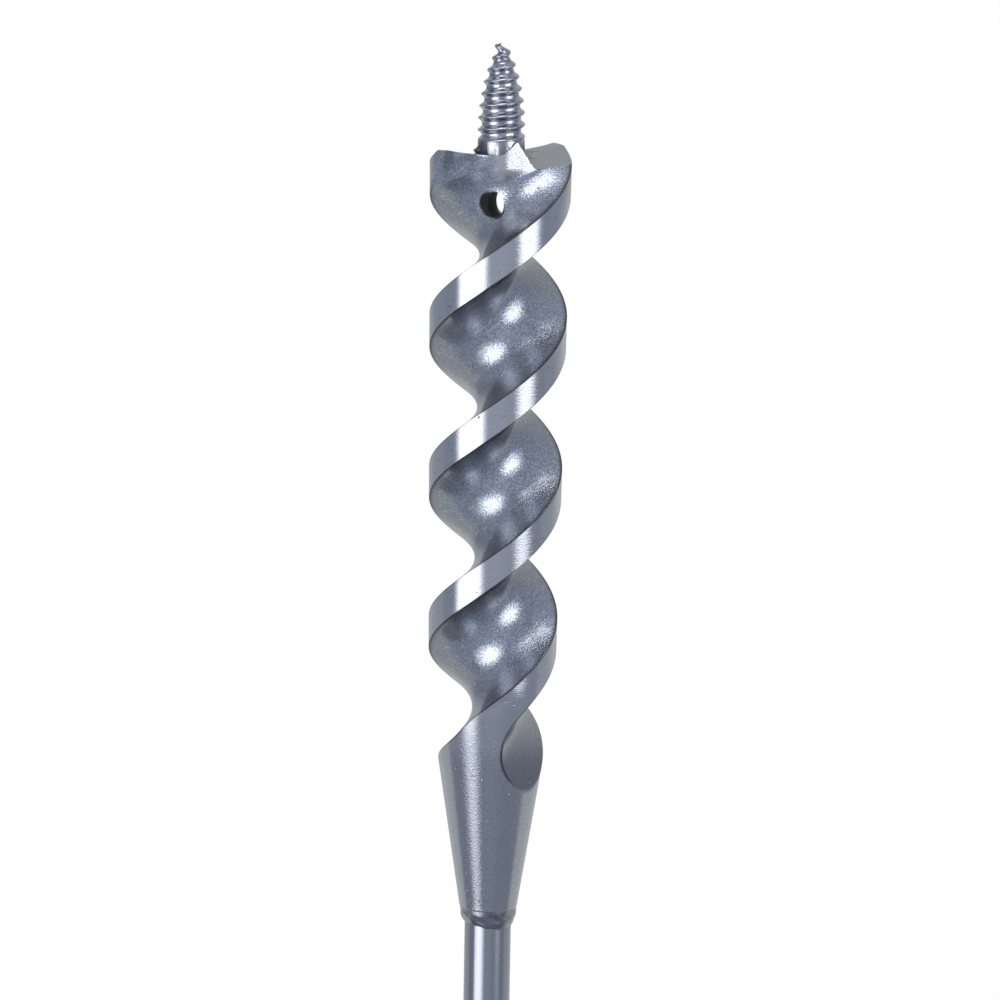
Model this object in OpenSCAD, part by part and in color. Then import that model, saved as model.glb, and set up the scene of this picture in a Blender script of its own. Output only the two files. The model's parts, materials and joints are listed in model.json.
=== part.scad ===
// Flexible auger bit: a twisted cutting head with a lead screw, brazed onto a spring-steel shaft.
// The axis runs along +Z, with the shank's end face at the origin and the lead screw's point on top.
// Lengths are in millimetres and angles in degrees. Heights in the head are taken from its mouth.

/* [Shaft] */
// Diameter of the spring-steel shaft
shaft_d = 6.35; // [5:0.05:7.5]
// Length of shaft between its shank end and the mouth of the head's socket
shaft_free = 339; // [250:1:500]
// Straight length at the shank end, which a chuck grips
shank_grip = 45; // [30:1:80]
// Straight length of shaft next to the braze, below the head
neck_straight = 6; // [4:0.5:20]
// Number of joints that share the shaft's elastic bend
flex_joints = 10; // [4:1:14]
// Running gap inside each joint of the shaft
joint_gap = 0.06; // [0.02:0.01:0.1]
// Chamfer around the shank's end face
shank_chamfer = 0.4; // [0.2:0.1:1.5]

/* [Socket and braze] */
// Wall of the socket at its mouth, outside the braze
mouth_wall = 0.65; // [0.4:0.05:2]
// Slope of the socket's outside, measured from the axis
socket_taper = 8.84; // [6:0.02:12]
// Length of shaft that stands in the socket
socket_depth = 15; // [10:0.5:16]
// Space left over the shaft's end in the socket
socket_relief = 0.5; // [0.2:0.1:1]
// Thickness of the braze film around the shaft
braze_film = 0.1; // [0.05:0.01:0.2]
// Height of the braze fillet below the mouth
braze_h = 2.4; // [1:0.1:3.5]
// Thickness of the braze fillet's lower edge
braze_toe = 0.03; // [0.02:0.01:0.1]

/* [Twist] */
// Diameter that the lips cut
head_d = 19.05; // [16:0.05:25]
// Height of the lips' outer corners
lip_h = 104.4; // [90:0.1:130]
// Direction of the first lip, about the axis
lip_angle = 38.8; // [-180:0.1:180]
// Rise of the twist in one turn
twist_lead = 41.17; // [34:0.01:60]
// Thickness of the twisted bar at its middle
web_t = 5.3; // [4:0.1:7]
// Arc of each land
land_arc = 39; // [34:1:48]
// Slope by which the lands narrow towards the shaft
back_taper = 0.69; // [0:0.01:1.2]
// Height at which each flute has run out on the socket
run_out_h = 17.3; // [17:0.1:24]
// Length over which a flute reaches its full depth
run_out_len = 16.9; // [12:0.1:22]
// Curvature of a flute's floor where it runs out, per millimetre
scoop_curve = 0.007; // [0.002:0.001:0.04]
// Length above the run-out over which the twist reaches its full rate
twist_ease = 12; // [8:0.1:16]

/* [Cutting end] */
// Rise of the lips towards their outer corners
lip_rise = 12.6; // [6:0.1:18]
// Slope of the ground face behind each lip
lip_relief = 15.5; // [8:0.5:20]
// Height below the lips at which the grinding under each lip starts
hook_h = 6.1; // [3:0.1:8]
// Depth ground away under a lip, per millimetre of height
hook_slope = 0.42; // [0.2:0.02:0.6]
// Height lost by that grinding, per millimetre towards the axis
hook_skew = 0.55; // [0.3:0.05:1.5]
// Diameter of the cross hole for a pull wire
pull_hole_d = 3.2; // [2:0.1:4]
// Height of the pull hole's axis below the lips
pull_hole_drop = 7.4; // [7:0.1:12]

/* [Lead screw] */
// Largest diameter of the screw's thread
screw_d = 6.35; // [5:0.05:8]
// Pitch of the thread
screw_pitch = 1.6; // [1.2:0.05:2.5]
// Depth of the thread
screw_depth = 0.56; // [0.3:0.01:0.8]
// Length of the threaded part
thread_len = 12.6; // [10:0.1:18]
// Length over which the thread narrows to the point
point_len = 11.5; // [8:0.1:18]
// Radius over the thread at the nipped-off point
point_r = 1.05; // [0.6:0.05:1.4]
// Depth of the screw's seat below the lips
seat_drop = 3.1; // [2.9:0.1:3.4]
// Length of the plain collar between the seat and the thread
collar_len = 4.2; // [3:0.1:6]
// Diameter of the stub under the collar
stub_d = 3.2; // [2.4:0.1:3.6]
// Length of the stub
stub_len = 2.1; // [1.5:0.1:2.3]
// Direction in which the thread starts, about the axis
thread_start = -45; // [-180:1:180]

/* [Hidden] */
$fn = 64;
shaft_parts = [for (i = [1:flex_joints - 1]) str("shaft_flex_", i)];
head_parts = ["shaft_socket_end", "braze_joint", "auger_head", "lead_screw"];

shaft_r = shaft_d / 2;
flex_len = shaft_free - braze_h - neck_straight - shank_grip;
flex_step = flex_len / flex_joints;
bore_r = shaft_r + braze_film;
mouth_r = bore_r + mouth_wall;
bore_depth = socket_depth + socket_relief;

twist_rate = 360 / twist_lead;
twist_full = run_out_h + twist_ease;
lip_axis_h = lip_h - head_d / 2 * tan(lip_rise);
seat_h = lip_h - seat_drop;
pull_hole_h = lip_h - pull_hole_drop;

// Facets of the twisted body: steps along its height, on each land and on each flute
body_steps = 56;
land_steps = 10;
flute_steps = 14;
half_n = land_steps + flute_steps;
// Height of the first flute ring, just above the run-out
flute_low = run_out_h + 0.15;
// Step by which the bar's foot stands inside the socket's upper edge
foot_step = 0.03;
// Facets of the thread: rows in one pitch and columns around it
thread_rows = 8;
thread_cols = 24;
// Rounding of the thread's root, and of its ogive towards the point
root_power = 1.5;
ogive_power = 0.7;
// Share of the thread's depth that is left where its radius is least
point_depth = 0.7;
// Steps along the braze fillet, and how far it swells between its edges
braze_steps = 6;
braze_swell = 0.08;
// Length by which cutting tools run past what they cut
over = 1;

// Height of joint i of the shaft, counted from 1 at the shank
function joint_z(i) = shank_grip + (i - 0.5) * flex_step;

// Outer radius of the tapered socket
function socket_r(h) = mouth_r + h * tan(socket_taper);

// Outer radius of the twisted bar: it goes on along the socket's taper, up to the back-tapered lands
function body_r(h) = min(socket_r(h) - foot_step, head_d / 2 - (lip_h - h) * tan(back_taper));

// Share of the full flute depth, easing in from the run-out
function run_in(h) = let(u = max(0, min(1, (h - run_out_h) / run_out_len))) u * (2 - u);

// Half the bar's thickness at its middle
function web_half(h) = body_r(h) + (web_t / 2 - body_r(h)) * run_in(h);

// Curvature of the flute's floor: what the land's arc asks for, and more where the flute runs out
function floor_curve(h) =
    let(full = (body_r(h) * sin(land_arc / 2) - web_t / 2) / pow(body_r(h) * cos(land_arc / 2), 2))
    full + (scoop_curve - full) * (1 - run_in(h));

// Distance along the bar at which the curved floor meets the outer radius
function floor_reach(h) =
    let(c = floor_curve(h), p = web_half(h), b = 1 + 2 * c * p)
    sqrt((sqrt(b * b + 4 * c * c * (pow(body_r(h), 2) - p * p)) - b) / (2 * c * c));

// Depth ground away under a lip at distance s from the axis
function hook(s, h) = hook_slope * max(0, h - lip_h + hook_h - (body_r(h) - s) * hook_skew);

// Offset of the flute's floor from the bar's middle plane, with the ground lip on the positive side
function floor_at(s, h) =
    web_half(h) + floor_curve(h) * pow(min(abs(s), floor_reach(h)), 2) - (s > 0 ? hook(s, h) : 0);

// Turn of the bar's middle plane: a steady lead, slowing to a straight end at the run-out
function turned(h) =
    let(below = max(0, twist_full - h), slow = min(below, twist_ease))
    lip_angle - twist_rate * (lip_h - h) + twist_rate * (slow * slow / (2 * twist_ease) + below - slow);

// Point j of the bar's section at height h: a land, the flute after it, then the same half turned round
function section_point(j, h) =
    let(r = body_r(h), reach = floor_reach(h), lag = atan2(floor_at(-reach, h), reach))
    let(edge = floor_at(reach, h), lead_s = sqrt(r * r - edge * edge), lead = atan2(edge, lead_s))
    let(i = j % half_n, a = -lag + (lead + lag) * i / land_steps)
    let(s = lead_s - (lead_s + reach) * (i - land_steps) / flute_steps)
    (j < half_n ? 1 : -1) * (i < land_steps ? r * [cos(a), sin(a)] : [s, floor_at(s, h)]);

function turn(p, a) = [p[0] * cos(a) - p[1] * sin(a), p[0] * sin(a) + p[1] * cos(a)];

function body_point(j, h) = let(p = turn(section_point(j, h), turned(h))) [p[0], p[1], h];

// Height of the ground face behind a lip, over a point of the section
function lip_face(p) =
    let(q = turn(p, -lip_angle))
    lip_axis_h + abs(q[0]) * tan(lip_rise) + sign(q[0]) * q[1] * tan(lip_relief);

// Height at which column j of the body meets that face, found by repeated substitution
function column_top(j, h = lip_h, tries = 12) =
    tries == 0 ? h : column_top(j, lip_face(body_point(j, h)), tries - 1);

// Radius of the thread at angle a and height z above its first turn
function thread_r(a, z) =
    let(left = min(1, (thread_len - z) / point_len))
    let(crest = max(point_r, screw_d / 2 * pow(1 - pow(1 - left, 2), ogive_power)))
    let(depth = screw_depth * (point_depth + (1 - point_depth) * 2 * crest / screw_d))
    let(p = z / screw_pitch - a / 360, saw = abs(2 * (p - floor(p)) - 1))
    crest - depth * (1 - pow(saw, root_power));

// Closed body through rings of points that run anticlockwise, from the lowest ring up to the top faces
module skin(rings, top) {
    n = len(rings[0]);
    last = len(rings) - 1;
    sides = [for (k = [0:last - 1], j = [0:n - 1]) let(i = (j + 1) % n)
        each [[k * n + j, k * n + n + j, k * n + i], [k * n + n + j, k * n + n + i, k * n + i]]];
    foot = [for (j = [0:n - 1]) j];
    lid = [for (face = top) [for (j = face) last * n + j % n]];
    polyhedron([for (ring = rings) each ring], concat([foot], sides, lid));
}

// Half ball on the end of a shaft length, with its centre on a joint at height z
module ball_end(z) {
    translate([0, 0, z])
        intersection() {
            sphere(r = shaft_r);
            translate([-shaft_d, -shaft_d, 0])
                cube(2 * shaft_d);
        }
}

// Hollow that turns over a ball end, with its centre on a joint at height z
module ball_cup(z) {
    translate([0, 0, z])
        sphere(r = shaft_r + joint_gap);
}

module shaft_shank() {
    top = joint_z(1);
    color("slategray") {
        cylinder(r1 = shaft_r - shank_chamfer, r2 = shaft_r, h = shank_chamfer);
        translate([0, 0, shank_chamfer])
            cylinder(r = shaft_r, h = top - shank_chamfer);
        ball_end(top);
    }
}

module shaft_flex(i) {
    z0 = joint_z(i);
    z1 = joint_z(i + 1);
    color("slategray")
        difference() {
            union() {
                translate([0, 0, z0])
                    cylinder(r = shaft_r, h = z1 - z0);
                ball_end(z1);
            }
            ball_cup(z0);
        }
}

module shaft_socket_end() {
    z0 = joint_z(flex_joints);
    color("slategray")
        difference() {
            translate([0, 0, z0])
                cylinder(r = shaft_r, h = shaft_free + socket_depth - z0);
            ball_cup(z0);
        }
}

module braze_joint() {
    width = mouth_r - shaft_r - braze_toe;
    fillet = [for (i = [0:braze_steps]) let(t = i / braze_steps)
        [shaft_r + braze_toe + width * (t + braze_swell * sin(180 * t)), braze_h * (t - 1)]];
    color("dimgray")
        translate([0, 0, shaft_free])
            rotate_extrude()
                polygon(concat([[shaft_r, -braze_h]], fillet,
                    [[bore_r, 0], [bore_r, socket_depth], [shaft_r, socket_depth]]));
}

// The twisted bar with its lips, drilled for the screw's seat and stub and for the pull wire
module twisted_body() {
    n = 2 * half_n;
    tops = [for (j = [0:n - 1]) column_top(j)];
    rings = [for (k = [0:body_steps]) [for (j = [0:n - 1])
        body_point(j, flute_low + (tops[j] - flute_low) * k / body_steps)]];
    land_ends = [for (first = [0, half_n], i = [1:land_steps - 1]) [first, first + i + 1, first + i]];
    bar_end = [for (m = [0:flute_steps - 1]) let(a = land_steps + m, d = n - m)
        each [[a, d, d - 1], [a, d - 1, a + 1]]];
    difference() {
        skin(rings, concat(land_ends, bar_end));
        translate([0, 0, seat_h])
            cylinder(d = screw_d, h = collar_len + over);
        translate([0, 0, seat_h - stub_len])
            cylinder(d = stub_d, h = stub_len + over);
        translate([0, 0, pull_hole_h])
            rotate([0, 90, turned(pull_hole_h) + 90])
                cylinder(d = pull_hole_d, h = head_d, center = true);
    }
}

module auger_head() {
    color("lightslategray")
        translate([0, 0, shaft_free]) {
            difference() {
                cylinder(r1 = mouth_r, r2 = socket_r(flute_low), h = flute_low);
                translate([0, 0, -over])
                    cylinder(r = bore_r, h = bore_depth + over);
            }
            twisted_body();
        }
}

module lead_screw() {
    rows = ceil(thread_len / screw_pitch * thread_rows);
    step = thread_len / rows;
    turns = [for (k = [0:rows]) [for (j = [0:thread_cols - 1])
        let(a = 360 * j / thread_cols, r = thread_r(a, k * step)) [r * cos(a), r * sin(a), k * step]]];
    color("lightsteelblue")
        translate([0, 0, shaft_free + seat_h])
            rotate(thread_start) {
                translate([0, 0, -stub_len])
                    cylinder(d = stub_d, h = stub_len);
                cylinder(d = screw_d, h = collar_len);
                translate([0, 0, collar_len])
                    skin(turns, [[for (j = [thread_cols - 1:-1:0]) j]]);
            }
}

shaft_shank();
for (i = [1:flex_joints - 1]) shaft_flex(i);
shaft_socket_end();
braze_joint();
auger_head();
lead_screw();
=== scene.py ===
"""Flexible auger bit: a twisted wood-boring head with a lead screw, brazed onto a long thin bending shaft.

Sizes are in millimetres. Heights on the head and the screw are taken from the mouth of the head's socket,
and angles from +X towards +Y. The photograph's front is the -Y side. A named pair of numbers, such as
NEAR_LAND, is where a smooth step starts and where it ends.
"""
import json

import bmesh
import bpy
import numpy as np
from mathutils import Matrix, Vector


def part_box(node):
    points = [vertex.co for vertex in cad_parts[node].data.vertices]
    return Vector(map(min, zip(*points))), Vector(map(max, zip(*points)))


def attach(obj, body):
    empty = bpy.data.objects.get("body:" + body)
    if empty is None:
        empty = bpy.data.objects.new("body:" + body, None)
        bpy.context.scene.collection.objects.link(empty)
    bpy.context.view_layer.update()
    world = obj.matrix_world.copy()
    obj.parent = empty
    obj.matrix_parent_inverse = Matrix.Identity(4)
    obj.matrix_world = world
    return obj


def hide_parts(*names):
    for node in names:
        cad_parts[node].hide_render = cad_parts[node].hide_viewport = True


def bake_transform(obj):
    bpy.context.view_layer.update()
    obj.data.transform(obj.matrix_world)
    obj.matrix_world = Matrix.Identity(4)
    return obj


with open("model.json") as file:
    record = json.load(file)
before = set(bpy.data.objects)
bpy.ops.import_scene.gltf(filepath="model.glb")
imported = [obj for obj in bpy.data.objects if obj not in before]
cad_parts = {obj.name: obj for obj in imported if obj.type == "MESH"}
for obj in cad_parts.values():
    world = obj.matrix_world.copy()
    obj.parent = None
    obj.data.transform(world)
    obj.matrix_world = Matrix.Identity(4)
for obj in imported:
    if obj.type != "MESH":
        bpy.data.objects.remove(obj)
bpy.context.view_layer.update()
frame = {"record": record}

MM = 0.001
FAR = 1000.0
WELD, SLIVER = 1e-4 * MM, 1e-5 * MM
TINY = 1e-6

# Shaft, read from the frame
BODIES = list(frame["record"]["behaviour"]["bodies"])
JOINT_Z = [joint["pos_m"][2] / MM for joint in frame["record"]["behaviour"]["joints"]]
JOINT_STEP = JOINT_Z[1] - JOINT_Z[0]
SHAFT_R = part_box("shaft_shank")[1][0] / MM
SHAFT_TOP_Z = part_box("shaft_socket_end")[1][2] / MM
MOUTH_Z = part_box("auger_head")[0][2] / MM
TIP_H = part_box("lead_screw")[1][2] / MM - MOUTH_Z
SHANK_CHAMFER = 0.4
SHAFT_COLUMNS, SHAFT_ROWS = 96, 26
SHANK_ROWS, SHANK_MARGIN = 30, 1.0
TOP_ROWS, TOP_MARGIN = 12, 1.5

# Socket and braze
MOUTH_R = 3.925
MOUTH_ROUND, MOUTH_EDGE_H, MOUTH_ROWS = 0.1568, 0.3, 5
BORE_R, BORE_DEPTH = 3.275, 15.5
SOCKET_SLOPE = np.tan(np.radians(8.84))
BRAZE_H, BRAZE_TOP_R, BRAZE_BULGE = 2.4, 3.86, 1.7
BRAZE_LUMP, BRAZE_DIMPLE = 0.05, 0.03
BRAZE_COLUMNS, BRAZE_ROWS = 120, 25
FILM_H, FILM_SEAT = 2.0, 0.02
TOE_TURN = np.radians(45)
TOE_RISE, TOE_SWAY, TOE_DIP = 0.15, 0.3, 0.12
TOE_RIPPLE = ((0.04, 11, 1),)

# Twisted bar
HEAD_R = 9.5
LIP_H = 104.4
LIP_ANGLE = np.radians(38.8)
TWIST_LEAD, TWIST_EASE = 41.17, 12.0
WEB_HALF = 2.65
LAND_HALF, LAND_HALF_MAX = np.radians(19.5), np.radians(62)
BACK_SLOPE = np.tan(np.radians(0.69))
RUN_OUT_H, RUN_OUT_LEN = 17.3, 16.9
FULL_DEPTH_H = (20.7, 26.3), (29.0, 35.0)
SCOOP_CURVE = 0.007
SHOULDER_ROUND = 0.35
LAND_ROUND = 0.26

# Ground lips and pull hole
LIP_AXIS_H = 102.2
LIP_RISE = np.tan(np.radians(12.6))
LIP_RELIEF = np.tan(np.radians(15.5))
LIP_BLEND = 1.2
LIP_BREAK = 0.05
LIP_CROWN, CROWN_BACK, CROWN_HALF = 0.35, 1.8, 1.1
CORNER_WEAR, CORNER_BACK = 0.1, (-0.5, 0.5)
WEAR_REACH = 5.5, 8.5
HOOK_H, HOOK_SLOPE, HOOK_SKEW = 6.1, 0.42, 0.55
HOOK_ROUND = 0.3
HOOK_WEAR, HOOK_WEAR_H = 1.2, (96.5, 100.5)
PULL_HOLE_H, PULL_HOLE_R = 96.8, 1.6
PULL_HOLE_WIDE, PULL_HOLE_HIGH = 0.71, 1.06
PULL_HOLE_TURN = np.radians(14.5)
FLARE_FROM, FLARE_RUN, FLARE_RISE, FLARE_MAX = 2.6, 0.4, 0.12, 0.5
SPOOL_HALF, SPOOL_ROWS, SPOOL_COLUMNS = 6, 61, 64

# Grid of the head: columns on each land and in each flute, rows up the stem, and rings over the end
LAND_COLUMNS, FLUTE_COLUMNS, CROWDING = 40, 56, 0.9
STEM_ROWS = (MOUTH_EDGE_H, 15, 28), (15.2, 32, 96), (32.3, 92, 190)
CROWN_FROM, CROWN_ROWS = 92, 47
CAP_RIM, CAP_RINGS = 1 - LIP_BREAK / 9, (0.985, 0.30, 26)
SETTLE_ROUNDS = 40
HEAD_SHARP = 30

# Where the marks on the head start and end
NEAR_CAP = -0.03, -0.01
NEAR_LAND, LAND_END = (0.03, 0.14), (-0.3, 0.0)
NEAR_BOSS = 0.0, 0.5
NEAR_BORE = 0.05, 0.35
EDGE_OUT, EDGE_IN = 0.28, 0.13
EDGE_START = RUN_OUT_H, RUN_OUT_H + 2

# Lead screw
SCREW_R = 3.175
SEAT_H = 101.3
COLLAR_LEN, COLLAR_INSET, COLLAR_ROWS = 4.2, 0.04, 12
FOOT_RISE, FOOT_INSET = (0.1, 0.4), (0.12, 0.03)
DENTS = (0.03, 5, 0.7), (0.02, 11, 0), (0.015, 23, 2)
DENT_MAX, DENT_FADE = 0.035, 1
BURR_ANGLE, BURR_H, BURR_R = np.radians(195), 103.8, 0.8
BURR_SPREAD, BURR_HIGH = 0.22, 0.38
# Where the collar is darker beside the burr, and where painted shade lies round the collar's foot
DARKER_SIDE, DARKER_SIDE_H = (0.35, 0.75), (104.8, 105.4)
FOOT_SHADE, FOOT_SHADE_H = 0.6, (103.9, 104.6)
PITCH = 1.6
THREAD_DEPTH, THREAD_CREST, DEPTH_AT_POINT = 0.56, 1.9, 0.7
THREAD_START = np.radians(-45)
THREAD_LOW = -0.4
THREAD_LEN = TIP_H - SEAT_H - COLLAR_LEN
NECK_DEPTH, NECK, NECK_END = 0.55, (-0.35, 0.5), 0.6
POINT_LEN, POINT_R, POINT_POWER = 11.5, 1.08, 0.7
POINT_LEAN, LEAN = 0.47, (THREAD_LEN - 1.3, THREAD_LEN - 0.1)
NIP_DEPTH, NIP = 0.46, (THREAD_LEN - 1.0, THREAD_LEN - 0.2)
TIP_GAP, TIP_SLANT = 0.04, 0.11
SCREW_COLUMNS, ROWS_PER_PITCH = 96, 36

# Boss round the screw's collar, with a flat face on two opposite sides that ends in a gable
BOSS_ANGLE = np.radians(-69)
BOSS_R, BOSS_LOW_R, BOSS_FROM, BOSS_TO = 3.35, 1.6, 97.5, 101.6
BOSS_FLAT, BOSS_FALL = (-0.1, 0.85), 0.8
BOSS_ROUND, BOSS_ROUND_MIN = 0.7, 0.01
GABLE_T, GABLE_H, GABLE_ROUND = 1.0, 105.3, 0.3
GABLE_LEFT, GABLE_RIGHT = 1.05, 1.5
GABLE_LOW_H, GABLE_FOOT_H = 103.4, SEAT_H - 2
GABLE_NOTCH = (0.07, 9, 0), (0.05, 21, 1)
COVE_ROUND, COVE_INSET = 0.25, 0.1


def smooth_min(a, b, k):
    """The lower of two surfaces, with the corner between them rounded over a height k."""
    share = np.clip(0.5 + 0.5 * (b - a) / k, 0, 1)
    return b + (a - b) * share - k * share * (1 - share)


def ease(x, low, high):
    """0 below low, 1 above high, and a smooth cubic step between them."""
    t = np.clip((x - low) / (high - low), 0, 1)
    return t * t * (3 - 2 * t)


def ripple(x, waves):
    """A sum of sine waves along x, each one given by its size, its number and its start."""
    return sum(size * np.sin(number * x + start) for size, number, start in waves)


def crowded(count, share):
    """count steps from 0 towards 1 that crowd at both ends: t less a share of sin(2 pi t) / (2 pi)."""
    t = np.arange(count) / count
    return t - share * np.sin(2 * np.pi * t) / (2 * np.pi)


def ring_angles(columns):
    """Angles of a closed ring of columns; the last one lies on the first and is welded to it."""
    return np.linspace(0, 2 * np.pi, columns + 1)


def rings(radius, angle, height):
    """Points of a grid of rings round the axis, from arrays of radius, angle and height."""
    radius, angle, height = np.broadcast_arrays(radius, angle, height)
    return np.stack([radius * np.cos(angle), radius * np.sin(angle), height], axis=-1)


def make_piece(name, points, base_z=0.0, sharp_deg=35):
    """A closed piece from a grid of points: quads between neighbours, with seams and poles welded shut."""
    rows, columns = points.shape[:2]
    spots = points.reshape(-1, 3) + (0, 0, base_z)
    index = np.arange(rows * columns).reshape(rows, columns)
    corners = index[:-1, :-1], index[:-1, 1:], index[1:, 1:], index[1:, :-1]
    mesh = bpy.data.meshes.new(name)
    mesh.from_pydata(spots * MM, [], np.stack(corners, axis=-1).reshape(-1, 4))
    shell = bmesh.new()
    shell.from_mesh(mesh)
    bmesh.ops.remove_doubles(shell, verts=shell.verts, dist=WELD)
    bmesh.ops.dissolve_degenerate(shell, edges=shell.edges, dist=SLIVER)
    shell.to_mesh(mesh)
    shell.free()
    piece = bpy.data.objects.new(name, mesh)
    bpy.context.collection.objects.link(piece)
    smooth(mesh, sharp_deg)
    return piece


def smooth(mesh, sharp_deg):
    """Smooth shading that keeps each edge sharper than the given angle."""
    mesh.shade_smooth()
    mesh.set_sharp_from_angle(angle=np.radians(sharp_deg))


def spots_of(mesh):
    """The mesh's points as an array, in millimetres."""
    spots = np.empty(len(mesh.vertices) * 3)
    mesh.vertices.foreach_get("co", spots)
    return spots.reshape(-1, 3) / MM


def mark(mesh, name, values):
    """Keeps one number per point on the mesh, for its finish to read."""
    marks = mesh.attributes.new(name, "FLOAT", "POINT")
    marks.data.foreach_set("value", np.asarray(values, dtype=np.float32))


# Twisted head


def bar_radius(h):
    """Radius over the lands: the socket's cone up to the lands, which narrow a little towards the shaft."""
    return smooth_min(MOUTH_R + h * SOCKET_SLOPE, HEAD_R - (LIP_H - h) * BACK_SLOPE, SHOULDER_ROUND)


def run_in(h, flute):
    """Share of a flute's depth: a parabola from the run-out up, hastened further up; negative below."""
    u = np.minimum((h - RUN_OUT_H) / RUN_OUT_LEN, 1)
    share = u * (2 - u)
    return share + (1 - share) * ease(h, *FULL_DEPTH_H[flute])


def flute_floor(h, flute):
    """Offset of a flute's floor from the bar's middle plane, and the curve by which its edges rise."""
    r, share = bar_radius(h), run_in(h, flute)
    full = (r * np.sin(LAND_HALF) - WEB_HALF) / (r * np.cos(LAND_HALF)) ** 2
    return r + (WEB_HALF - r) * share, full + (SCOOP_CURVE - full) * (1 - share)


def ray_length(slope, offset, curve):
    """Distance d along a ray where offset + curve d d equals slope d, or far away if it never does."""
    inside = slope ** 2 - 4 * curve * offset
    reach = slope + np.sqrt(np.maximum(inside, 0))
    return np.where((inside > 0) & (reach > TINY), 2 * offset / np.maximum(reach, TINY), FAR)


def bar_walls(angle, h):
    """Distances from the axis to land, flute floor and the lip's ground face, at an angle from the bar."""
    c, s = np.cos(angle), np.sin(angle)
    side = np.where(s < 0, -1, 1)
    c, s = c * side, s * side
    offset, curve = np.where(side > 0, flute_floor(h, 0), flute_floor(h, 1))
    land = bar_radius(h)
    floor = ray_length(s, offset, curve * c ** 2)
    rise = h - LIP_H + HOOK_H - land * HOOK_SKEW
    ground = ray_length(s + HOOK_SLOPE * HOOK_SKEW * c, offset - HOOK_SLOPE * rise, curve * c ** 2)
    return land, floor, np.where(c > 0, ground, FAR)


def hook_wear(ground, h):
    """Share of wear on the corner between land and ground face: 0 below the lip, 1 beside it."""
    return ease(h, *HOOK_WEAR_H) * (ground < FAR)


def bar_turn(h):
    """Angle of the bar at a height: an even twist that eases out towards the socket."""
    rate = 2 * np.pi / TWIST_LEAD
    below = np.maximum(0, RUN_OUT_H + TWIST_EASE - h)
    slow = np.minimum(below, TWIST_EASE)
    return LIP_ANGLE - rate * (LIP_H - h) + rate * (slow ** 2 / (2 * TWIST_EASE) + below - slow)


# Columns of the head: a land, a flute, the other land, the other flute, and the first column again
HALF_STEPS = np.r_[crowded(LAND_COLUMNS, CROWDING), crowded(FLUTE_COLUMNS, CROWDING)]
STEP = np.r_[HALF_STEPS, HALF_STEPS, 0.0]
HALF = np.r_[np.repeat((0.0, 1.0), len(HALF_STEPS)), 2.0]
IS_LAND = np.arange(len(STEP)) % len(HALF_STEPS) < LAND_COLUMNS


def land_edge(h, flute):
    """Angle from the bar's middle plane at which a flute's floor meets the land."""
    r = bar_radius(h)
    offset, curve = flute_floor(h, flute)
    b = 1 + 2 * curve * offset
    inside = np.sqrt(np.maximum(b ** 2 + 4 * curve ** 2 * (r ** 2 - offset ** 2), 0)) - b
    reach = np.sqrt(np.maximum(inside, 0) / (2 * curve ** 2))
    return np.minimum(np.arctan2(offset + curve * reach ** 2, reach), LAND_HALF_MAX)


def bar_columns(h):
    """Angles of the columns from the bar's middle plane: they crowd where a land meets its two flutes."""
    first, second = land_edge(h, 0), land_edge(h, 1)
    before, after = np.where(HALF == 1, first, second), np.where(HALF == 1, second, first)
    land = (before + after) * STEP - before
    flute = after + (np.pi - 2 * after) * STEP
    return np.where(IS_LAND, land, flute) + HALF * np.pi


def boss_radius(angle, h):
    """Distance from the axis to the boss: a flat face on two opposite sides, round to the left of each."""
    off = (angle - BOSS_ANGLE + np.pi / 2) % np.pi - np.pi / 2
    reach = BOSS_LOW_R + (BOSS_R - BOSS_LOW_R) * ease(h, BOSS_FROM, BOSS_TO)
    flat = reach / np.cos(np.clip(off, *BOSS_FLAT))
    return flat * (1 - BOSS_FALL * np.maximum(off - BOSS_FLAT[1], 0))


def bar_points(h):
    """x and y of each column: the nearest of land, floor and ground face, or the boss under the screw."""
    angle = bar_columns(h)
    land, floor, ground = bar_walls(angle, h)
    corner = LAND_ROUND + HOOK_WEAR * hook_wear(ground, h)
    radius = smooth_min(land, smooth_min(floor, ground, HOOK_ROUND), corner)
    angle = angle + bar_turn(h)
    blend = BOSS_ROUND * ease(h, BOSS_FROM - 1, BOSS_TO) + BOSS_ROUND_MIN
    radius = -smooth_min(-radius, -boss_radius(angle, h), blend)
    return radius * np.cos(angle), radius * np.sin(angle)


def cove(x, y):
    """Height to which the boss climbs the collar: a gable along each flat face, and level between them."""
    along = -x * np.sin(BOSS_ANGLE) + y * np.cos(BOSS_ANGLE)
    facing = x * np.cos(BOSS_ANGLE) + y * np.sin(BOSS_ANGLE)
    along = np.where(facing < 0, -along, along) - GABLE_T
    slope = np.where(along < 0, GABLE_LEFT, -GABLE_RIGHT) * along
    roof = GABLE_H + smooth_min(0 * along, slope, GABLE_ROUND) + ripple(along, GABLE_NOTCH)
    level = np.where(along < 0, GABLE_LOW_H, GABLE_FOOT_H)
    inside = np.hypot(x, y) < SCREW_R - COVE_INSET
    return np.where(inside, SEAT_H, np.maximum(roof, level))


def lip_faces(x, y):
    """Height of the bar's end: two faces that rise from axis to lips, fall behind, and are worn round."""
    c, s = np.cos(LIP_ANGLE), np.sin(LIP_ANGLE)
    along, behind = c * x + s * y, c * y - s * x
    side = 2 * ease(along, -LIP_BLEND, LIP_BLEND) - 1
    back, out = behind * side, np.abs(along)
    crown = LIP_CROWN * np.exp(-((back + CROWN_BACK) / CROWN_HALF) ** 2)
    wear = crown - CORNER_WEAR * ease(back, *CORNER_BACK)
    return LIP_AXIS_H + out * LIP_RISE + back * LIP_RELIEF + wear * ease(out, *WEAR_REACH)


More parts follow.
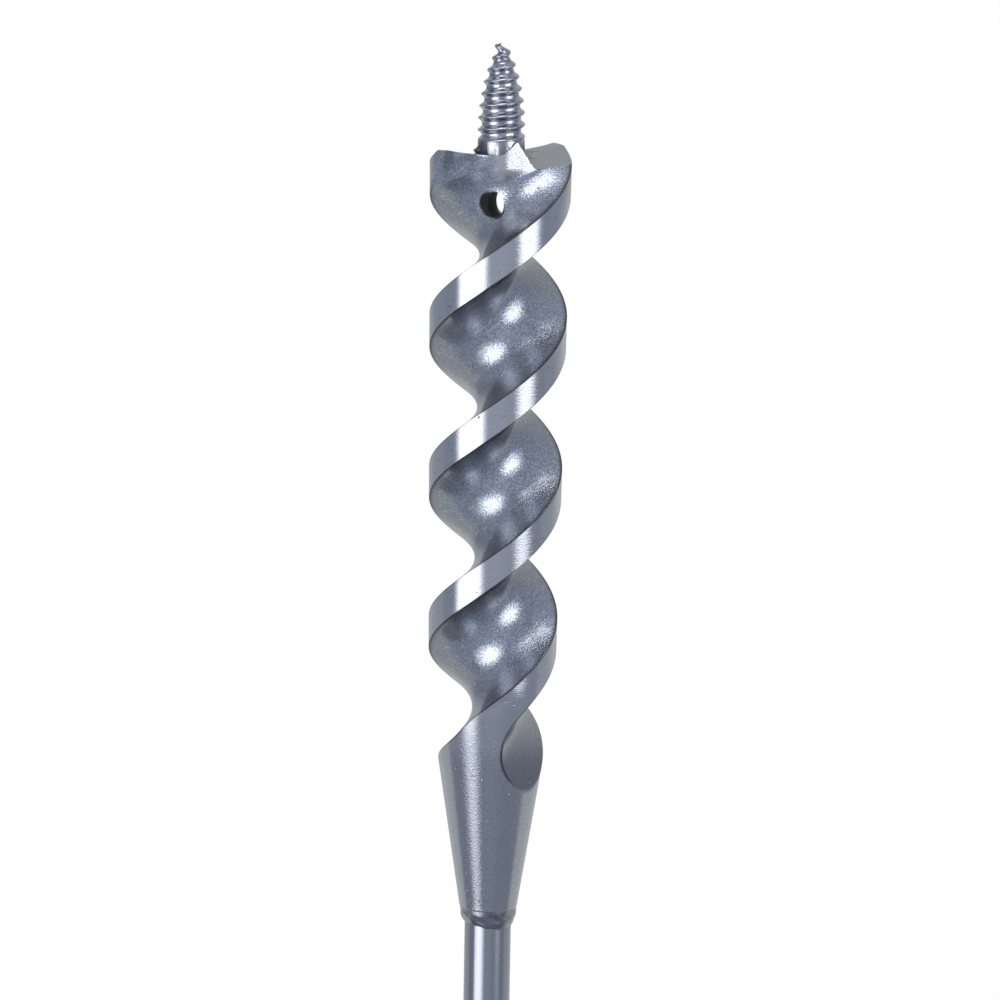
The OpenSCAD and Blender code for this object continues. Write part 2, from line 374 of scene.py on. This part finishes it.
def bar_end(x, y):
    """Height of the bar's finished end: the higher of lip faces and cove, with a soft corner."""
    return -smooth_min(-lip_faces(x, y), -cove(x, y), COVE_ROUND)


def make_head():
    """The head as one grid: bore, mouth, cone, twisted bar, and the lip faces closed over the axis."""
    top = np.full(len(STEP), LIP_H)
    for _ in range(SETTLE_ROUNDS):
        top = 0.5 * (top + bar_end(*bar_points(top)))
    stem = np.concatenate([np.linspace(*span) for span in STEM_ROWS])
    stem = stem[:, None] + np.zeros(len(STEP))
    crown = CROWN_FROM + (top - LIP_BREAK - CROWN_FROM) * np.linspace(0, 1, CROWN_ROWS)[1:, None]
    wall = np.concatenate([stem, crown])
    x, y = bar_points(wall)
    body = np.stack([x, y, wall], axis=-1)
    shrink = np.r_[CAP_RIM, np.linspace(*CAP_RINGS), 0][:, None]
    cap_x, cap_y = x[-1] * shrink, y[-1] * shrink
    cap = np.stack([cap_x, cap_y, bar_end(cap_x, cap_y)], axis=-1)
    t = np.arange(MOUTH_ROWS) / MOUTH_ROWS * np.pi / 2
    foot_r = np.r_[0, BORE_R, BORE_R, bar_radius(MOUTH_EDGE_H) - MOUTH_ROUND * (1 - np.sin(t))]
    foot_h = np.r_[BORE_DEPTH, BORE_DEPTH, 0, MOUTH_EDGE_H * (1 - np.cos(t))]
    foot = rings(foot_r[:, None], np.arctan2(y[0], x[0]), foot_h[:, None])
    head = make_piece("auger_head_forged", np.concatenate([foot, body, cap]), MOUTH_Z, HEAD_SHARP)
    drill_pull_hole(head)
    mark_head(head.data)
    smooth(head.data, HEAD_SHARP)
    return head


def drill_pull_hole(head):
    """Cuts the cross hole with a spool: a straight bore that flares where it leaves the flutes' floors."""
    along = np.linspace(-SPOOL_HALF, SPOOL_HALF, SPOOL_ROWS)
    flare = FLARE_RISE * (np.maximum(np.abs(along) - FLARE_FROM, 0) / FLARE_RUN) ** 2
    radius = np.r_[0, PULL_HOLE_R + np.minimum(flare, FLARE_MAX), 0]
    along = np.r_[along[0], along, along[-1]]
    local = rings(radius[:, None], ring_angles(SPOOL_COLUMNS), along[:, None])
    side, rise, through = np.moveaxis(local * (PULL_HOLE_WIDE, PULL_HOLE_HIGH, 1), -1, 0)
    across = bar_turn(PULL_HOLE_H) + np.pi / 2 + PULL_HOLE_TURN
    points = np.stack([
        through * np.cos(across) - side * np.sin(across),
        through * np.sin(across) + side * np.cos(across),
        rise + PULL_HOLE_H,
    ], axis=-1)
    spool = make_piece("pull_hole_spool", points, MOUTH_Z)
    cut = head.modifiers.new("pull_hole", "BOOLEAN")
    cut.operation = "DIFFERENCE"
    cut.solver = "EXACT"
    cut.object = spool
    drilled = bpy.data.meshes.new_from_object(head.evaluated_get(bpy.context.evaluated_depsgraph_get()))
    head.modifiers.clear()
    head.data = drilled
    bpy.data.objects.remove(spool)


def mark_head(mesh):
    """Marks the head's lands, edges, ground end, boss and drilled bore, from each point's place."""
    x, y, z = spots_of(mesh).T
    h = z - MOUTH_Z
    angle = np.arctan2(y, x) - bar_turn(h)
    land, floor, ground = bar_walls(angle, h)
    wall = np.minimum(floor, ground)
    capped = ease(h - bar_end(x, y), *NEAR_CAP)
    on_land = 1 - ease(land - np.hypot(x, y), *NEAR_LAND)
    steep = np.tan(np.where(np.sin(angle) > 0, land_edge(h, 0), land_edge(h, 1)))
    edge = np.exp(-((wall - land) * steep / np.where(wall > land, EDGE_OUT, EDGE_IN)) ** 2)
    edge = edge * (1 - hook_wear(ground, h)) * ease(h, *EDGE_START)
    boss = ease(boss_radius(np.arctan2(y, x), h) - np.minimum(land, wall), *NEAR_BOSS)
    across = bar_turn(PULL_HOLE_H)
    off_hole = np.hypot(x * np.cos(across) + y * np.sin(across), h - PULL_HOLE_H)
    mark(mesh, "land", on_land * ease(np.minimum(floor, FAR / 2) - land, *LAND_END))
    mark(mesh, "edge", edge * (1 - capped))
    mark(mesh, "facet", capped)
    mark(mesh, "boss", boss * (1 - capped))
    mark(mesh, "bore", 1 - ease(off_hole - PULL_HOLE_R, *NEAR_BORE))


# Lead screw


def thread_radius(angle, z):
    """Radius of the screw: an ogive of crests, less a wave along a helix whose crests are narrow."""
    left = np.clip((THREAD_LEN - z) / POINT_LEN, 0, 1)
    crest = np.maximum(SCREW_R * (1 - (1 - left) ** 2) ** POINT_POWER, POINT_R)
    crest = crest - NIP_DEPTH * ease(z, *NIP)
    turns = z / PITCH - (angle - THREAD_START) / (2 * np.pi)
    wave = 0.5 + 0.5 * np.cos(2 * np.pi * turns)
    depth = THREAD_DEPTH * (DEPTH_AT_POINT + (1 - DEPTH_AT_POINT) * crest / SCREW_R)
    cut = crest - depth * (1 - wave ** THREAD_CREST)
    neck = SCREW_R - COLLAR_INSET - NECK_DEPTH * ease(z, *NECK)
    return np.where(z < NECK_END, np.maximum(cut, neck), cut)


def make_screw():
    """The screw: a collar with a worn foot, a helical grid that follows the thread, a nipped-off point."""
    around = ring_angles(SCREW_COLUMNS)
    count = int(np.ceil((THREAD_LEN - THREAD_LOW) / PITCH + 1)) * ROWS_PER_PITCH
    row = np.arange(count + 1)[:, None]
    z = THREAD_LOW + PITCH * (row / ROWS_PER_PITCH + around / (2 * np.pi) - 1)
    z = np.clip(z, THREAD_LOW, THREAD_LEN - TIP_GAP - TIP_SLANT * (1 - np.cos(around)))
    thread = rings(thread_radius(around, z), around, z)
    thread[..., 0] -= POINT_LEAN * ease(z, *LEAN)
    tip = np.repeat(thread[-1:].mean(axis=1, keepdims=True), len(around), axis=1)
    foot, band = -COLLAR_LEN, np.linspace(-COLLAR_LEN + FOOT_RISE[1], THREAD_LOW, COLLAR_ROWS)
    collar_z = np.r_[foot, foot, foot + FOOT_RISE[0], band]
    collar_r = SCREW_R - np.r_[SCREW_R, FOOT_INSET, np.full(COLLAR_ROWS, COLLAR_INSET)]
    fade = (collar_r > 1) * ease(-collar_z, -THREAD_LOW, -THREAD_LOW + DENT_FADE)
    rise = collar_z[:, None] + SEAT_H + COLLAR_LEN - BURR_H
    burr = np.exp(-((around - BURR_ANGLE) / BURR_SPREAD) ** 2 - (rise / BURR_HIGH) ** 2)
    dents = np.minimum(ripple(around, DENTS), DENT_MAX)
    collar_r = collar_r[:, None] + fade[:, None] * (dents + BURR_R * burr)
    points = np.concatenate([rings(collar_r, around, collar_z[:, None]), thread, tip])
    screw = make_piece("lead_screw_cut", points, MOUTH_Z + SEAT_H + COLLAR_LEN, sharp_deg=50)
    mark_screw(screw.data)
    return screw


def mark_screw(mesh):
    """Marks where the collar is darker beside the burr, and the painted shade round the collar's foot."""
    x, y, z = spots_of(mesh).T
    h = z - MOUTH_Z
    off = np.abs((np.arctan2(y, x) - BURR_ANGLE + np.pi) % (2 * np.pi) - np.pi)
    beside = (1 - ease(off, *DARKER_SIDE)) * (1 - ease(h, *DARKER_SIDE_H))
    mark(mesh, "burr", np.maximum(beside, FOOT_SHADE * (1 - ease(h, *FOOT_SHADE_H))))


# Braze and shaft


def make_braze():
    """The braze as a ring: a film hidden in the socket, and a lumpy fillet with a wandering toe."""
    around = ring_angles(BRAZE_COLUMNS)
    t = np.linspace(0, 1, BRAZE_ROWS)[:, None]
    turn = around + TOE_TURN
    toe = BRAZE_H - TOE_RISE + TOE_SWAY * np.cos(turn) + TOE_DIP * np.cos(2 * turn)
    toe = toe + ripple(around, TOE_RIPPLE)
    lumps = BRAZE_LUMP * np.sin(3 * around + 6 * t)
    lumps = lumps + BRAZE_DIMPLE * np.sin(8 * around - 9 * t) * np.sin(np.pi * t)
    width = BRAZE_TOP_R - SHAFT_R - FILM_SEAT
    swell = width * np.sqrt(np.maximum(1 - t ** BRAZE_BULGE, 0))
    outer = rings(SHAFT_R + FILM_SEAT + swell + lumps * 4 * t * (1 - t), around, -toe * t)
    film_in = rings(SHAFT_R - FILM_SEAT, around, np.stack([-toe, np.full_like(toe, FILM_H)]))
    film_out = rings(BORE_R, around, np.r_[FILM_H, 0][:, None])
    points = np.concatenate([outer, film_in, film_out, outer[:1]])[::-1]
    return make_piece("braze_fillet", points, MOUTH_Z, sharp_deg=60)


def make_shaft():
    """The rod as ten lengths that butt half-way between the joints, one round each joint."""
    around = ring_angles(SHAFT_COLUMNS)
    lengths = []
    for k, joint_z in enumerate(JOINT_Z):
        low, high = joint_z - JOINT_STEP / 2, joint_z + JOINT_STEP / 2
        z = np.linspace(low, high, SHAFT_ROWS + 1)
        if k == 0:
            z = np.r_[SHANK_CHAMFER, np.linspace(SHANK_MARGIN, low - SHANK_MARGIN, SHANK_ROWS), z]
        if k == len(JOINT_Z) - 1:
            z = np.r_[z, np.linspace(high + TOP_MARGIN, SHAFT_TOP_Z, TOP_ROWS)]
        foot_z, foot_r = [z[0]], [0]
        if k == 0:
            foot_z, foot_r = [0, 0], [0, SHAFT_R - SHANK_CHAMFER]
        heights, radii = np.r_[foot_z, z, z[-1]], np.r_[foot_r, np.full(len(z), SHAFT_R), 0]
        rod = make_piece(f"shaft_length_{k + 1}", rings(radii[:, None], around, heights[:, None]))
        BODIES[k + 1]
        low * MM
        high * MM
        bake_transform(rod)
        lengths.append(rod)
    return lengths


# Finishes


class Value:
    """A shader socket that takes part in Python sums: each operator adds one Math node to its own tree."""

    def __init__(self, socket):
        self.socket = socket

    @property
    def tree(self):
        return self.socket.id_data

    def math(self, operation, *others):
        return add(self.tree, "ShaderNodeMath", {"operation": operation}, dict(enumerate((self, *others))))

    def flipped(self, operation, other):
        return add(self.tree, "ShaderNodeMath", {"operation": operation}, {0: other, 1: self})

    def __add__(self, other):
        return self.math("ADD", other)

    __radd__ = __add__

    def __sub__(self, other):
        return self.math("SUBTRACT", other)

    def __rsub__(self, other):
        return self.flipped("SUBTRACT", other)

    def __mul__(self, other):
        return self.math("MULTIPLY", other)

    __rmul__ = __mul__

    def __truediv__(self, other):
        return self.math("DIVIDE", other)

    def __rtruediv__(self, other):
        return self.flipped("DIVIDE", other)

    def __pow__(self, other):
        return self.math("POWER", other)

    def step(self, low, high):
        """0 below low, 1 above high, and a smooth step between them."""
        ends = {"Value": self, "From Min": low, "From Max": high}
        return add(self.tree, "ShaderNodeMapRange", {"interpolation_type": "SMOOTHSTEP"}, ends)


def add(tree, kind, settings=None, sockets=None, out=0):
    """Adds a node: its settings are set first, then each socket gets its number, colour or link."""
    node = tree.nodes.new(kind)
    for key, setting in (settings or {}).items():
        setattr(node, key, setting)
    for key, entry in (sockets or {}).items():
        if isinstance(entry, Value):
            tree.links.new(entry.socket, node.inputs[key])
        else:
            node.inputs[key].default_value = entry
    return Value(node.outputs[out]) if len(node.outputs) else None


def new_tree(name):
    """A new material and its node tree, which is still empty."""
    material = bpy.data.materials.new(name)
    material.use_nodes = True
    material.node_tree.nodes.clear()
    return material, material.node_tree


def close_tree(tree, sockets):
    """Adds the metal's shader with its sockets, and the tree's output."""
    shader = add(tree, "ShaderNodeBsdfPrincipled", None, sockets)
    add(tree, "ShaderNodeOutputMaterial", None, {"Surface": shader})


def place_mm(tree, stretch=(1, 1, 1)):
    """The piece's own coordinates in millimetres, stretched along each axis for a drawn-out pattern."""
    spot = add(tree, "ShaderNodeTexCoord", out=3)
    scale = [1000 * share for share in stretch]
    return add(tree, "ShaderNodeVectorMath", {"operation": "MULTIPLY"}, {0: spot, 1: scale})


def leaned_mm(tree):
    """The piece's coordinates in millimetres, turned to the twist's slope and drawn out along it."""
    turn = {"Vector": place_mm(tree), "Rotation": (0, -SCRATCH_LEAN, 0), "Scale": SCRATCH_SIZE}
    return add(tree, "ShaderNodeMapping", {"vector_type": "TEXTURE"}, turn)


def noise(tree, place, scale, detail=2.0, rough=0.5, warp=0.0):
    """Soft noise from 0 to 1, with a number of waves per millimetre."""
    sockets = {"Vector": place, "Scale": scale, "Detail": detail, "Roughness": rough, "Distortion": warp}
    return add(tree, "ShaderNodeTexNoise", {"noise_dimensions": "3D"}, sockets)


def specks(tree, place, scale, size):
    """Round specks, one near each of scale points per millimetre: 1 inside, 0 outside."""
    cells = {"Vector": place, "Scale": scale}
    far = add(tree, "ShaderNodeTexVoronoi", {"feature": "F1"}, cells, "Distance")
    return 1 - far.step(size * 0.6, size)


def blend_colour(tree, share, low, high):
    """One colour turning into another by a share."""
    return add(tree, "ShaderNodeMix", {"data_type": "RGBA"}, {0: share, 6: low, 7: high}, 2)


def layered(tree, tint, *layers):
    """A colour with further ones laid over it in turn, each by its own share."""
    for share, over in layers:
        tint = blend_colour(tree, share, tint, over)
    return tint


def attribute(tree, name):
    """A number kept on the mesh's points."""
    return add(tree, "ShaderNodeAttribute", {"attribute_name": name}, out=2)


def bumped(tree, height, reach):
    """A normal tilted by a height field whose full range is reach metres."""
    return add(tree, "ShaderNodeBump", None, {"Strength": 1.0, "Distance": reach, "Height": height})


def turned_away(tree):
    """How far a face is turned away from the eye: 0 when it looks straight back, 1 at the outline."""
    return add(tree, "ShaderNodeLayerWeight", None, {"Blend": 0.5}, 1)


def outline(away):
    """1 on the thin strip where a round face turns away from the eye, 0 on the rest."""
    return away.step(0.70, 0.93)


def colour(r, g, b):
    """An opaque colour."""
    return (r, g, b, 1)


# Clear lacquer over every steel piece: its shine, and how strongly it throws light back
LACQUER = {"Coat Roughness": 0.04, "Coat IOR": 1.5}
LACQUER_WEIGHT = 0.4
SCRATCH_LEAN = np.radians(38)
SCRATCH_SIZE = (4.5, 0.8, 0.3)
SOCKET_END = MOUTH_Z + 20, MOUTH_Z + 28
LIP_BAND = MOUTH_Z + 95, MOUTH_Z + 100
# Where the braze's painted sheen on its left and right flanks starts and ends, measured from the axis
BRAZE_SHEEN_SIDES = 2.1, 2.6

# Tints, as pairs where noise runs from a dark one to a pale one
FLUTE_TINTS = colour(0.17, 0.195, 0.24), colour(0.36, 0.395, 0.46)
# Painted shade: the flutes darken where they turn away from the eye.
FLUTE_GRAZING_SHADE = colour(0.08, 0.085, 0.095)
SMUDGE = colour(0.15, 0.16, 0.14)
BOSS_TINT = colour(0.39, 0.40, 0.42)
PALE_SCRATCH, DARK_SCRATCH = colour(0.55, 0.56, 0.58), colour(0.15, 0.15, 0.16)
LAND_TINTS = colour(0.375, 0.39, 0.43), colour(0.43, 0.445, 0.485)
FACET_TINT = colour(0.32, 0.33, 0.34)
SOCKET_TINTS = colour(0.275, 0.29, 0.33), colour(0.365, 0.38, 0.42)
# Painted shade inside the pull hole's bore.
BORE_SHADE = colour(0.012, 0.012, 0.012)
# The middle colour darkens the collar beside the burr and paints shade round its foot.
PIT, COLLAR_DARK_AND_SHADE, SPECK = colour(0.08, 0.08, 0.09), colour(0.08, 0.08, 0.09), colour(0.07, 0.07, 0.08)
# Painted shade: dark lines along the head's edges and outline, and a dark outline on the plain metals.
EDGE_SHADE, OUTLINE_SHADE = colour(0.04, 0.04, 0.04), colour(0.05, 0.05, 0.05)
# Painted shade in the flutes' run-out scoops inside the socket.
SCOOP_SHADE = colour(0.05, 0.05, 0.05)
SCREW_TINTS = colour(0.22, 0.235, 0.275), colour(0.39, 0.41, 0.45)
SHAFT_TINTS = colour(0.25, 0.265, 0.30), colour(0.31, 0.325, 0.36)
BRAZE_TINTS = colour(0.11, 0.12, 0.145), colour(0.18, 0.19, 0.215)
# Painted sheen on the braze's left and right flanks.
SIDE_SHEEN_TINT = colour(0.27, 0.28, 0.29)


def head_finish():
    """Forged steel: blasted flutes, ground and polished lands with pits, and a satin socket, with painted
    shade where the flutes turn away, along the edges and outline, in the run-out scoops and inside the pull
    hole.
    """
    material, tree = new_tree("forged_and_ground_steel")
    place = place_mm(tree)
    land, edge, facet, boss, bore = (attribute(tree, k) for k in ("land", "edge", "facet", "boss", "bore"))
    height = add(tree, "ShaderNodeSeparateXYZ", None, {0: place}, 2)
    socket = 1 - height.step(*SOCKET_END)
    polished = land * (1 - socket) * (1 - 0.7 * height.step(*LIP_BAND))
    bright = polished.math("MAXIMUM", facet)
    away = turned_away(tree)
    level = away.step(0.25, 0.65)
    # mask of painted shade: the outline and the edges between lands and flutes
    dark = outline(away).math("MAXIMUM", edge)
    grain = noise(tree, place, 4.4, 2, 0.6)
    cloud = noise(tree, place, 0.25, 3, 0.55, 0.6)
    pits = specks(tree, place, 0.8, 0.17) * noise(tree, place, 0.7).step(0.56, 0.64)
    lines = noise(tree, place_mm(tree, (0.5, 0.5, 5)), 1.0, 2, 0.6)
    smudge = noise(tree, place, 0.35, 3, 0.6, 1.0).step(0.58, 0.72)
    scratch = noise(tree, leaned_mm(tree), 1.0, 1, 0.5).step(0.66, 0.71)
    flute_tint = layered(
        tree, blend_colour(tree, grain.step(0.3, 0.7), *FLUTE_TINTS),
        # painted shade where the flutes turn away from the eye
        (away.step(0.22, 0.70) * 0.62, FLUTE_GRAZING_SHADE),
        (smudge * 0.4, SMUDGE),
        (boss * 0.8, BOSS_TINT),
        (scratch * 0.35, PALE_SCRATCH),
    )
    land_tint = layered(tree, blend_colour(tree, lines, *LAND_TINTS), (scratch * 0.4, DARK_SCRATCH))
    socket_tint = blend_colour(tree, grain.step(0.3, 0.7), *SOCKET_TINTS)
    tint = layered(
        tree, flute_tint,
        (polished, land_tint),
        (facet, FACET_TINT),
        (socket, socket_tint),
        # painted shade in the run-out scoops
        (socket * (1 - land) * 0.4, SCOOP_SHADE),
        # painted shade inside the pull hole
        (bore * 0.97, BORE_SHADE),
        (pits * 0.7, PIT),
        # painted shade along the edges and the outline
        (dark * 0.95, EDGE_SHADE),
    )
    rough = 0.135 - 0.01 * level - 0.015 * socket + 0.24 * facet + 0.1 * pits + 0.7 * bore
    rough = rough + 0.04 * (grain - 0.5) + 0.05 * (cloud - 0.5)
    relief = grain * (1 - 0.75 * bright) * (1 - 0.4 * socket) * (1 - 0.4 * level)
    relief = relief + 0.2 * lines * bright - 1.2 * pits
    close_tree(tree, {
        "Base Color": tint,
        "Metallic": 0.74 + 0.26 * bright.math("MAXIMUM", socket),
        "Roughness": rough,
        "Normal": bumped(tree, relief, 3.8e-5),
        "Coat Weight": LACQUER_WEIGHT * (1 - dark) * (1 - bore) * (1 - 0.7 * facet),
        **LACQUER,
    })
    return material


def close_plain(tree, tint, rough, relief, reach, *layers):
    """Ends the tree of a plain metal: painted shade darkens its tint at the outline, where the lacquer's
    shine goes too.

    Further layers of colour lie over the outline.
    """
    # mask of the painted shade at the outline
    rim = outline(turned_away(tree))
    close_tree(tree, {
        "Base Color": layered(tree, tint, (rim * 0.8, OUTLINE_SHADE), *layers),
        "Metallic": 1.0,
        "Roughness": rough,
        "Normal": bumped(tree, relief, reach),
        "Coat Weight": LACQUER_WEIGHT * (1 - rim),
        **LACQUER,
    })


def screw_finish():
    """Cut steel: smooth thread flanks with faint tool marks, uneven bright spots, a darker patch beside the
    burr and painted shade round the foot.
    """
    material, tree = new_tree("cut_screw_steel")
    place = place_mm(tree)
    grain = noise(tree, place, 3.5, 3, 0.6)
    blotch = noise(tree, place, 0.8, 3, 0.6, 0.5)
    tint = blend_colour(tree, blotch.step(0.3, 0.75), *SCREW_TINTS)
    # darker beside the burr, and painted shade round the collar's foot
    darkening_and_shade = attribute(tree, "burr") * 0.85, COLLAR_DARK_AND_SHADE
    close_plain(tree, tint, 0.21 + 0.12 * (grain - 0.5), grain + blotch, 3.0e-5, darkening_and_shade)
    return material


def shaft_finish():
    """Drawn spring steel: long faint die lines, small dark specks, a clear lacquer."""
    material, tree = new_tree("drawn_spring_steel")
    place = place_mm(tree)
    lines = noise(tree, place_mm(tree, (5, 5, 0.05)), 1.0, 2, 0.6)
    grain = noise(tree, place, 3.0, 2, 0.6)
    dots = specks(tree, place, 0.5, 0.14) * noise(tree, place, 0.4).step(0.52, 0.6)
    tint = layered(tree, blend_colour(tree, lines, *SHAFT_TINTS), (dots * 0.7, SPECK))
    close_plain(tree, tint, 0.16 + 0.06 * (grain - 0.5) + 0.15 * dots, lines + 0.7 * grain, 1.0e-5)
    return material


def braze_finish():
    """Braze: dark, uneven metal with heat-stained patches and small dimples, and a painted sheen that makes
    its left and right flanks paler.
    """
    material, tree = new_tree("dark_braze")
    place = place_mm(tree)
    lumps = noise(tree, place, 0.7, 2, 0.5, 0.6)
    grain = noise(tree, place, 4.0, 2, 0.5)
    across = add(tree, "ShaderNodeSeparateXYZ", None, {0: place}, 0)
    # painted sheen: the flanks to the left and right are paler
    side_sheen = across.math("ABSOLUTE").step(*BRAZE_SHEEN_SIDES)
    tint = layered(tree, blend_colour(tree, lumps.step(0.35, 0.65), *BRAZE_TINTS), (side_sheen, SIDE_SHEEN_TINT))
    close_plain(tree, tint, 0.28 + 0.12 * (grain - 0.5), lumps + 0.15 * grain, 3e-5)
    return material


# Studio

CAMERA_DISTANCE = 607.2
CAMERA_TILT = np.radians(10.32)
CAMERA_ROLL = np.radians(1.0)
CAMERA_LENS = 162
AIM_X, AIM_Z = 0.67, 395.5
FLOOR_R, FLOOR_DROP = 420.0, 0.3
FLOOR_ROWS, FLOOR_COLUMNS = 24, 96
FLOOR_RIM = 0.3 * FLOOR_R, 0.95 * FLOOR_R
WHITE, FLOOR_PAINT = colour(1, 1, 1), colour(0.9, 0.9, 0.9)
DEGREES = float(np.degrees(1))
GLOWS = (
    # azimuth from the front to the right, elevation, lean, half width, half height, soft border, colour
    (165, 35, 0, 50, 60, 0.5, (0.72, 0.74, 0.75)),
    (0, 6, 0, 30, 30, 0.8, (0.62, 0.67, 0.78)),
    (-45, -5, 20, 24, 27, 0.25, (2.6, 2.65, 2.7)),
    (-44, 3, 20, 17, 15, 0.5, (5.2, 5.2, 5.1)),
    (51, 7, 5, 24, 20.5, 0.15, (2.6, 2.65, 2.7)),
    (47, 8, 12, 13, 12, 0.6, (5.0, 5.0, 5.0)),
)
ROOM, CEILING = colour(0.40, 0.44, 0.53), colour(0.55, 0.60, 0.70)
CEILING_EDGE = 25, 65
TABLE = colour(0.77, 0.80, 0.80)
TABLE_MIDDLE, TABLE_SIDE, TABLE_TOP = -5.5, 95.5, -15
TABLE_SIDE_SOFT, TABLE_TOP_SOFT = 3, 9
# Panel on the ceiling, on a plane one unit above: right of the middle, nearer than it, turn, and half sizes
PANEL_RIGHT, PANEL_NEAR, PANEL_TURN = -0.16, 0.36, np.radians(-45)
PANEL_LONG, PANEL_WIDE, PANEL_SOFT = 0.37, 0.20, 0.06
PANEL_LOWEST, PANEL_OVERHEAD = 0.2, (0.4, 0.5)
PANEL_COLOUR = colour(5.0, 5.0, 5.0)


def make_camera():
    """A long lens at the photograph's height, distance, tilt and roll."""
    tilt, roll = CAMERA_TILT, CAMERA_ROLL
    back = Vector((0, -np.cos(tilt), np.sin(tilt)))
    level, upright = Vector((1, 0, 0)), Vector((0, np.sin(tilt), np.cos(tilt)))
    right = level * np.cos(roll) + upright * np.sin(roll)
    up = upright * np.cos(roll) - level * np.sin(roll)
    place = Vector((AIM_X, 0, AIM_Z)) * MM + back * CAMERA_DISTANCE * MM
    data = bpy.data.cameras.new("camera")
    data.lens = CAMERA_LENS
    data.clip_start = 0.01
    camera = bpy.data.objects.new("camera", data)
    camera.matrix_world = Matrix.Translation(place) @ Matrix((right, up, back)).transposed().to_4x4()
    bpy.context.collection.objects.link(camera)
    bpy.context.scene.camera = camera


def turned(across, rise, turn):
    """Two directions turned by an angle."""
    c, s = float(np.cos(turn)), float(np.sin(turn))
    return across * c + rise * s, rise * c - across * s


def below(value, limit, soft):
    """1 where a value is below a limit, 0 where it is above, with a soft border."""
    return 1 - value.step(limit - soft, limit + soft)


def make_light():
    """A studio painted by direction: a dim room, a table behind, two lamps and a panel on the ceiling."""
    world = bpy.data.worlds.new("studio")
    bpy.context.scene.world = world
    world.use_nodes = True
    tree = world.node_tree
    tree.nodes.clear()
    heading = add(tree, "ShaderNodeTexCoord", out=0)
    x, y, z = (add(tree, "ShaderNodeSeparateXYZ", None, {0: heading}, axis) for axis in range(3))
    azimuth, elevation = x.math("ARCTAN2", y * -1) * DEGREES, z.math("ARCSINE") * DEGREES
    tint = blend_colour(tree, elevation.step(*CEILING_EDGE), ROOM, CEILING)
    in_front = below((azimuth - TABLE_MIDDLE).math("ABSOLUTE"), TABLE_SIDE, TABLE_SIDE_SOFT)
    tint = blend_colour(tree, (1 - in_front) * below(elevation, TABLE_TOP, TABLE_TOP_SOFT), tint, TABLE)
    for centre, height, lean, half_wide, half_high, soft, glow in GLOWS:
        across = (azimuth - centre).math("WRAP", 180, -180)
        across, rise = turned(across, elevation - height, np.radians(lean))
        wide, high = across / half_wide, rise / half_high
        off = (wide * wide + high * high) ** 0.5
        tint = blend_colour(tree, below(off, 1, soft), tint, colour(*glow))
    over = z.math("MAXIMUM", PANEL_LOWEST)
    long, wide = turned(x / over - PANEL_RIGHT, y / over * -1 - PANEL_NEAR, PANEL_TURN)
    panel = below(long.math("ABSOLUTE"), PANEL_LONG, PANEL_SOFT) * z.step(*PANEL_OVERHEAD)
    panel = panel * below(wide.math("ABSOLUTE"), PANEL_WIDE, PANEL_SOFT)
    sight = add(tree, "ShaderNodeLightPath", out=0)
    tint = layered(tree, tint, (panel, PANEL_COLOUR), (sight, WHITE))
    light = add(tree, "ShaderNodeBackground", None, {"Color": tint, "Strength": 1.0})
    add(tree, "ShaderNodeOutputWorld", None, {"Surface": light})


def make_floor():
    """A plain pale disc under the shank; its rim turns to plain white, so that no border shows."""
    radius = np.linspace(0, FLOOR_R, FLOOR_ROWS)[:, None]
    disc = make_piece("floor", rings(radius, ring_angles(FLOOR_COLUMNS), -FLOOR_DROP))
    material, tree = new_tree("pale_floor")
    far = add(tree, "ShaderNodeVectorMath", {"operation": "LENGTH"}, {0: place_mm(tree)}, "Value")
    sight, mirrored = (add(tree, "ShaderNodeLightPath", out=ray) for ray in (0, 3))
    paint = add(tree, "ShaderNodeBsdfDiffuse", None, {"Color": FLOOR_PAINT})
    white = add(tree, "ShaderNodeEmission", None, {"Color": WHITE, "Strength": 1.0})
    clear = add(tree, "ShaderNodeBsdfTransparent")
    seen = add(tree, "ShaderNodeMixShader", None, {0: far.step(*FLOOR_RIM) * sight, 1: paint, 2: white})
    surface = add(tree, "ShaderNodeMixShader", None, {0: mirrored, 1: seen, 2: clear})
    add(tree, "ShaderNodeOutputMaterial", None, {"Surface": surface})
    disc.data.materials.append(material)


def dress(piece, material):
    """Gives a piece its finish."""
    piece.data.materials.clear()
    piece.data.materials.append(material)


bpy.context.scene.view_settings.view_transform = "Standard"
make_camera()
make_light()
make_floor()

rods = make_shaft()
drawn = shaft_finish()
for k, rod in enumerate(rods):
    dress(rod, drawn)
    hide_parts("shaft_shank" if k == 0 else f"shaft_flex_{k}")
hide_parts("shaft_socket_end")

on_head = (
    (make_head(), head_finish(), "forged_steel", "auger_head"),
    (make_screw(), screw_finish(), "screw_steel", "lead_screw"),
    (make_braze(), braze_finish(), "braze", "braze_joint"),
)
for piece, material, slot, node in on_head:
    dress(piece, material)
    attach(piece, "head")
    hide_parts(node)
